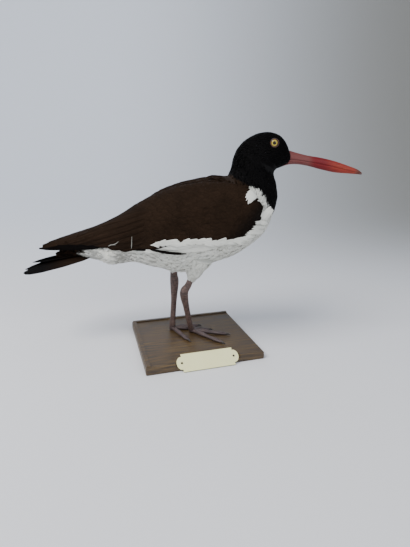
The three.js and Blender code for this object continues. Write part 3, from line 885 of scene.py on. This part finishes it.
def billMaterial():
    graph = Graph("bill")
    x, y, z = graph.axes(graph.place())
    along = x.ramp(0.112, 0.197)
    streaks = graph.noise(graph.join(x * 60, y * 500, z * 900), 1.0, 4, 0.6)
    blotch = graph.noise(graph.join(x * 130, y * 300, z * 300), 1.0, 2)
    base = graph.color(along.ramp(0.14, 0.3), (0.150, 0.042, 0.038), (0.140, 0.0045, 0.0075))
    base = graph.color(along.ramp(0.42, 0.8), base, (0.24, 0.026, 0.015))
    base = graph.color(streaks.ramp(0.52, 0.75) * along.ramp(0.25, 0.7) * 0.6, base, (0.46, 0.12, 0.035))
    base = graph.color(blotch.ramp(0.5, 0.75) * 0.5, base, (0.13, 0.012, 0.014))
    base = graph.color(along.ramp(0.965, 1.0), base, (0.10, 0.03, 0.02))
    rough = streaks.ramp(0.3, 0.7, 0.36, 0.52)
    return graph.set(Base_Color=base, Roughness=rough, Specular_IOR_Level=0.25,
                     Normal=graph.bump(streaks, 0.25, 0.0003))


def billHalf(upper):
    rows, sides, gape, hole = (billLook[key] for key in ("rows", "sides", "gape", "nostril"))
    t = np.linspace(0, len(billStations) - 1, rows)
    x, top, mid, low, wide = (spline(billStations[:, k], t)[:, None] for k in range(5))
    a = np.linspace(0, math.pi, sides)[None]
    across = np.cos(a) * wide
    if upper:
        z = mid + gape + (top - mid - gape) * np.sin(a) ** 1.15
        above = (z - mid - hole["above"]) / hole["high"]
        nostril = np.exp(-((x - hole["x"]) / hole["long"]) ** 2) * np.exp(-above ** 2)
        across = across * (1 - hole["deep"] * nostril)
    else:
        z = mid - gape - (mid - gape - low) * np.sin(a) ** 0.9
    return np.stack([np.repeat(x, sides, 1), across, z], -1).reshape(-1, 3)


billHorn = billMaterial()
for node, upper in (("bill_upper", True), ("bill_lower", False)):
    faces = cappedRings(billLook["rows"], billLook["sides"])
    solidPiece(node + "_horn", billHalf(upper), faces, billHorn, "bill", node)

# Eyes and lids
eyeLook = {
    "spot": (92.7, 9.6, 246.6), "radius": 5.6, "rows": 32, "sides": 48,
    "pupilEdge": (1.75, 2.15), "irisRim": (2.7, 3.7), "irisEdge": (3.6, 3.9),
}
lidLook = {
    "radius": 4.3, "thick": 0.8, "long": 1.08, "high": 0.96, "tilt": -0.21, "ahead": 0.5, "out": 3.3,
    "steps": 48, "sides": 14,
}


def eyeMaterial(side):
    graph = Graph("eyeGlass" + ("L" if side > 0 else "R"))
    look = eyeLook
    x, _, z = graph.axes(graph.place())
    dx = (x - look["spot"][0] * mm) * 1000
    dz = (z - look["spot"][2] * mm) * 1000
    reach = (dx * dx + dz * dz).power(0.5)
    fibre = graph.noise(graph.join(dx * 1.4, dz * 1.4, reach * 0.2), 1.0, 3)
    iris = graph.color(fibre, (0.36, 0.26, 0.016), (0.58, 0.47, 0.055))
    iris = graph.color(reach.ramp(*look["irisRim"]), iris, (0.16, 0.065, 0.012))
    iris = graph.color(reach.ramp(*look["pupilEdge"], 1.0, 0.0), iris, (0.012, 0.004, 0.003))
    iris = graph.color(reach.ramp(*look["irisEdge"]), iris, (0.006, 0.004, 0.004))
    return graph.set(Base_Color=iris, Roughness=0.22, Specular_IOR_Level=0.3, Coat_Weight=0.25,
                     Coat_Roughness=0.05)


def grainMaterial(name, scale, first, second, rough):
    graph = Graph(name)
    base = graph.color(graph.noise(graph.place(), scale), first, second)
    return graph.set(Base_Color=base, Roughness=rough)


def buildEye(name, side, spot):
    rows, sides = eyeLook["rows"], eyeLook["sides"]
    lat = np.linspace(0.03, math.pi - 0.03, rows)[:, None]
    lon = np.linspace(0, 2 * math.pi, sides, endpoint=False)[None]
    x, y = np.sin(lat) * np.cos(lon), np.sin(lat) * np.sin(lon)
    unit = np.stack([x, y, np.repeat(np.cos(lat), sides, 1)], -1)
    verts = unit.reshape(-1, 3) * eyeLook["radius"] + spot
    solidPiece("eyeball_" + name, verts, cappedRings(rows, sides), eyeMaterial(side), "eye", "eye_" + name)


def buildLid(name, side, spot, material):
    look = lidLook
    steps, sides = look["steps"], look["sides"]
    tilt = look["tilt"] * side
    ring = []
    for angle in np.linspace(0, 2 * math.pi, steps, endpoint=False):
        fat = 0.75 + 0.25 * math.sin(angle) ** 2
        for turn in np.linspace(0, 2 * math.pi, sides, endpoint=False):
            r = look["radius"] + math.cos(turn) * look["thick"] * fat
            x = math.cos(angle) * r * look["long"]
            y = math.sin(turn) * look["thick"]
            z = math.sin(angle) * r * look["high"]
            ring.append([x * math.cos(tilt) - y * math.sin(tilt) + spot[0] + look["ahead"],
                         x * math.sin(tilt) + y * math.cos(tilt) + spot[1] + side * look["out"],
                         z + spot[2]])
    last = (steps - 1) * sides
    closing = [(last + i, last + (i + 1) % sides, (i + 1) % sides, i) for i in range(sides)]
    solidPiece("lidring_" + name, ring, ringFaces(steps, sides) + closing, material, "lid", "lid_" + name)


lidSkin = grainMaterial("lid", 1500, (0.030, 0.010, 0.007), (0.085, 0.030, 0.018), 0.6)
for name, side in (("right", -1), ("left", 1)):
    spot = np.array(eyeLook["spot"]) * np.array([1, side, 1])
    buildEye(name, side, spot)
    buildLid(name, side, spot, lidSkin)

# Legs, feet, claws: centre lines from thigh to toe
legLook = {
    "right": {
        "girth": [3.4, 4.0, 5.2, 3.8, 3.5, 3.9],
        "thigh": [[11, -20, 122], [5.5, -15.5, 107], [1.8, -13.1, 95.5]],
        "leg": [[3, -13.3, 99], [-4, -12.6, 82.5], [-9.4, -12, 72], [-7.2, -4, 50], [-3.2, 5.6, 22],
                [-1.5, 10.1, 12.6]],
        "toeRoot": [-1.5, 10.1, 13],
        "toes": [[[10, 0, 12.6], [24, -12.5, 12], [37, -23.4, 11.5]],
                 [[13, 6.8, 12.8], [29, 4, 12], [43.5, 1, 11.5]],
                 [[6, 11.4, 12.8], [14, 13, 12.2], [21, 14.8, 11.5]]],
    },
    "left": {
        "girth": [4.2, 4.7, 5.6, 3.8, 3.7, 4.1],
        "thigh": [[-12, 21, 124], [-19, 18.5, 111], [-22.6, 17.2, 99]],
        "leg": [[-22.6, 17.1, 103], [-23.8, 17, 88], [-23.3, 17, 77], [-24.6, 17.4, 52], [-26.8, 18, 24],
                [-27.6, 18.2, 12.6]],
        "toeRoot": [-27.6, 18.2, 13],
        "toes": [[[-19, 5, 12.8], [-11, -7.6, 12], [-5, -16.2, 11.5]],
                 [[-15, 17.6, 12.8], [-2, 17.6, 12], [9, 17.9, 11.5]],
                 [[-17, 22.4, 12.8], [-5, 25.6, 12], [6, 28.4, 11.5]]],
    },
}
footLook = {
    "toeGirth": [3.4, 2.6, 3.0, 2.3, 2.7, 1.9], "toeFlat": 0.85, "sole": 9.75, "ankle": 11.6,
    "clawLength": 5.6, "clawTip": 10.2, "clawArch": 0.8, "clawGirth": [1.55, 1.2, 0.3],
}


def legMaterial():
    graph = Graph("legSkin")
    place = graph.place()
    z = graph.axes(place)[2]
    blotch = graph.noise(place, 260, 4, 0.6)
    scutes = (z * 2600 + graph.noise(place, 300) * 3).sin()
    base = graph.color(blotch.ramp(0.35, 0.7), (0.052, 0.030, 0.025), (0.150, 0.092, 0.074))
    base = graph.color(scutes.ramp(0.6, 1.0) * 0.35, base, (0.20, 0.13, 0.11))
    # Painted shade: toes and the lowest leg are darkened towards the board top, where they meet it
    base = graph.color(z.ramp(0.012, 0.02, 0.7, 0.0), base, (0.055, 0.040, 0.045))
    return graph.set(Base_Color=base, Roughness=blotch.ramp(0.3, 0.7, 0.42, 0.65),
                     Normal=graph.bump(scutes, 0.3, 0.0003))


def buildShank(name, look):
    verts, faces, _ = tube(look["leg"], look["girth"], 24, 70)
    solidPiece("shank_" + name, verts, faces, legSkin, "skin", "leg_" + name)


def buildToes(name, look):
    above, foot = look["leg"][4:6]
    heel = [foot[0] + 0.5, foot[1], footLook["ankle"]]
    parts = [tube([above, foot, heel], [*look["girth"][4:6], 3.0], 20, 14)]
    for toe in look["toes"]:
        line = [look["toeRoot"], *toe]
        verts, faces, reach = tube(line, footLook["toeGirth"], 16, 34, footLook["toeFlat"])
        verts[:, 2] = np.maximum(verts[:, 2], footLook["sole"])
        parts.append((verts, faces, reach))
    verts, faces, _ = join(parts)
    solidPiece("toes_" + name, verts, faces, legSkin, "skin", "foot_" + name)


def buildClaws(name, look):
    for k, toe in enumerate(look["toes"]):
        before, end = np.array(toe[1:])
        aim = (end - before) / np.linalg.norm(end - before)
        tip = end + aim * footLook["clawLength"]
        tip[2] = footLook["clawTip"]
        middle = (end + tip) / 2 + np.array([0, 0, footLook["clawArch"]])
        verts, faces, _ = tube([end, middle, tip], footLook["clawGirth"], 14, 14)
        solidPiece(f"nail_{name}_{k + 1}", verts, faces, clawHorn, "claw", f"claw_{name}_{k + 1}")


clawGrain = (700, (0.018, 0.014, 0.014), (0.06, 0.045, 0.04), 0.35)
legSkin = legMaterial()
clawHorn = grainMaterial("clawHorn", *clawGrain)
for name, look in legLook.items():
    buildShank(name, look)
    buildToes(name, look)
    buildClaws(name, look)

# Thighs: a core under short feathers
thighLook = {
    "core": [17, 10.7, 4.4], "roots": [17.5, 11.1, 4.8], "count": 420, "length": (7, 11), "width": 4.2,
    "sink": 0.4, "rows": 5, "columns": 3,
}


def thighSpot(line, t):
    return np.array([spline(line[:, i], np.array([t]))[0] for i in range(3)])


def thighVane(line, draw):
    look = thighLook
    t = draw.uniform(0, 1)
    angle = draw.uniform(0, 2 * math.pi)
    centre = thighSpot(line, t * 2)
    aim = thighSpot(line, min(t * 2 + 0.1, 2)) - centre if t < 0.94 else line[2] - line[1]
    aim /= np.linalg.norm(aim)
    across = np.cross(aim, [0, 0, 1.0])
    across /= np.linalg.norm(across)
    up = np.cross(aim, across)
    radius = float(spline(np.array(look["roots"]), np.array([t * 2]))[0])
    out = across * math.cos(angle) + up * math.sin(angle)
    sideways = np.cross(out, aim)
    shrink = 0.55 if t < 0.5 else 0.3
    root = centre + out * (radius - look["sink"])
    length = between(draw, look["length"])

    def place(u, w, thick):
        rise = np.sin(u * 2.4) * 0.9 - u * length * shrink * 0.55 + thick
        return root + aim * (u * length)[:, None] + sideways * w[:, None] + out * rise[:, None]

    return vanePiece(place, look["width"], "covert", draw.uniform(0.2, 1), 0.0, 0.0, (t * 0.9, angle / 7),
                     look["rows"], look["columns"])


thighCoat = featherMaterial("thighCoat")
for name, look in legLook.items():
    line = np.array(look["thigh"], dtype=float)
    verts, faces, _ = tube(line, thighLook["core"], 24, 20)
    plain = {"tone": np.full(len(verts), 0.5), "hood": np.zeros(len(verts)), "brown": np.zeros(len(verts))}
    solidPiece("thighskin_" + name, verts, faces, thighCoat, None, "thigh_" + name, attributes=plain)
    draw = np.random.default_rng(9)
    feathers = [thighVane(line, draw) for _ in range(thighLook["count"])]
    vaneObject("thighcoat_" + name, feathers, thighCoat, "white")

# Base and name plate: the solids themselves, in better materials
woodTurn = math.radians(16.6)


def woodMaterial():
    graph = Graph("wood")
    x, y, z = graph.axes(graph.place())
    along = x * math.cos(woodTurn) + y * math.sin(woodTurn)
    across = y * math.cos(woodTurn) - x * math.sin(woodTurn)
    warp = graph.noise(graph.join(along * 14, across * 40, z * 40), 1.0, 2)
    grain = graph.noise(graph.join(along * 22, across * 420 + warp * 6, z * 420), 1.0, 5, 0.6)
    figure = graph.noise(graph.join(along * 9, across * 70 + warp * 3, z * 70), 1.0, 3)
    pores = graph.noise(graph.join(along * 120, across * 1500, z * 1500), 1.0, 2)
    base = graph.color(grain.ramp(0.35, 0.68), (0.026, 0.0145, 0.0055), (0.148, 0.090, 0.032))
    base = graph.color(figure.ramp(0.4, 0.65) * 0.5, base, (0.058, 0.034, 0.016))
    base = graph.color(pores.ramp(0.6, 0.75) * 0.5, base, (0.03, 0.016, 0.01))
    return graph.set(Base_Color=base, Roughness=grain.ramp(0.3, 0.7, 0.42, 0.6), Coat_Weight=0.12,
                     Coat_Roughness=0.4, Normal=graph.bump(grain * 0.6 + pores * 0.4, 0.25, 0.0004))


def brassMaterial():
    graph = Graph("brass")
    brushed = graph.noise(graph.place(), 60, 4)
    return graph.set(Base_Color=graph.color(brushed, (0.92, 0.89, 0.46), (0.98, 0.96, 0.56)), Metallic=0.05,
                     Roughness=brushed.ramp(0.3, 0.7, 0.32, 0.45))


def dress(node, material):
    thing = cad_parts[node]
    thing.data.materials.clear()
    thing.data.materials.append(material)


dress("base_board", woodMaterial())
dress("name_plate", brassMaterial())
pinMetal = grainMaterial("plateMetal", *clawGrain)
dress("plate_pin_right", pinMetal)
dress("plate_pin_left", pinMetal)
print("base and plate")

# Stage, light and camera
stageLook = {"front": -1500, "bend": 200, "radius": 700, "top": 3000, "half": 3000, "gap": 0.02}
roomLook = {"color": (0.80, 0.86, 0.95, 1), "strength": 0.66}
lightLook = {
    "key": {"spot": (-0.9, -0.8, 1.5), "size": 1.1, "power": 31, "color": (1.0, 0.98, 0.95)},
    "fill": {"spot": (0.9, -1.2, 0.9), "size": 1.2, "power": 7, "color": (0.93, 0.96, 1.0)},
}
lightAim = (0, 0, 0.12)
cameraLook = {"sensor": 36, "focal": 387, "picture": 547, "spot": (0.01635, -0.4626, 0.2251), "pitch": 74.1}


def stageMaterial():
    graph = Graph("paper")
    x, y, z = graph.axes(graph.place())
    # Painted shade: the one paper sweep is darkened up the wall and much more towards the right side
    wall = (y + z).ramp(0.0, 0.8)
    right = x.ramp(-0.3, 0.7) * wall.ramp(0.0, 1.0, 0.12, 1.0)
    paper = graph.color(wall, (0.86, 0.86, 0.89), (0.64, 0.68, 0.75))
    paper = graph.color(right, paper, (0.25, 0.25, 0.24))
    return graph.set(Base_Color=paper, Roughness=0.9, Specular_IOR_Level=0.1)


def buildStage():
    look = stageLook
    bend, radius = look["bend"], look["radius"]
    arc = [(look["front"], 0), (-400, 0), (bend, 0)]
    arc += [(bend + radius * math.sin(a), radius - radius * math.cos(a))
            for a in np.linspace(0.1, math.pi / 2, 20)]
    arc += [(bend + radius, look["top"])]
    verts = [(x, y, z - look["gap"]) for y, z in arc for x in (-look["half"], look["half"])]
    faces = [(2 * i, 2 * i + 1, 2 * i + 3, 2 * i + 2) for i in range(len(arc) - 1)]
    meshPiece("floor", verts, faces, stageMaterial())


def areaLight(name, look):
    data = bpy.data.lights.new(name, "AREA")
    data.shape = "DISK"
    data.size = look["size"]
    data.energy = look["power"]
    data.color = look["color"]
    thing = placed(name, data)
    thing.location = look["spot"]
    thing.rotation_euler = (Vector(lightAim) - Vector(look["spot"])).to_track_quat("-Z", "Y").to_euler()


def placeCamera():
    camera = placed("camera", bpy.data.cameras.new("camera"))
    camera.data.sensor_width = cameraLook["sensor"]
    camera.data.lens = cameraLook["focal"] / cameraLook["picture"] * cameraLook["sensor"]
    camera.location = cameraLook["spot"]
    camera.rotation_euler = (math.radians(cameraLook["pitch"]), 0, 0)
    bpy.context.scene.camera = camera


buildStage()
world = bpy.data.worlds.new("room")
bpy.context.scene.world = world
world.use_nodes = True
world.node_tree.nodes["Background"].inputs[0].default_value = roomLook["color"]
world.node_tree.nodes["Background"].inputs[1].default_value = roomLook["strength"]
for name, look in lightLook.items():
    areaLight(name, look)
placeCamera()
print("stage")
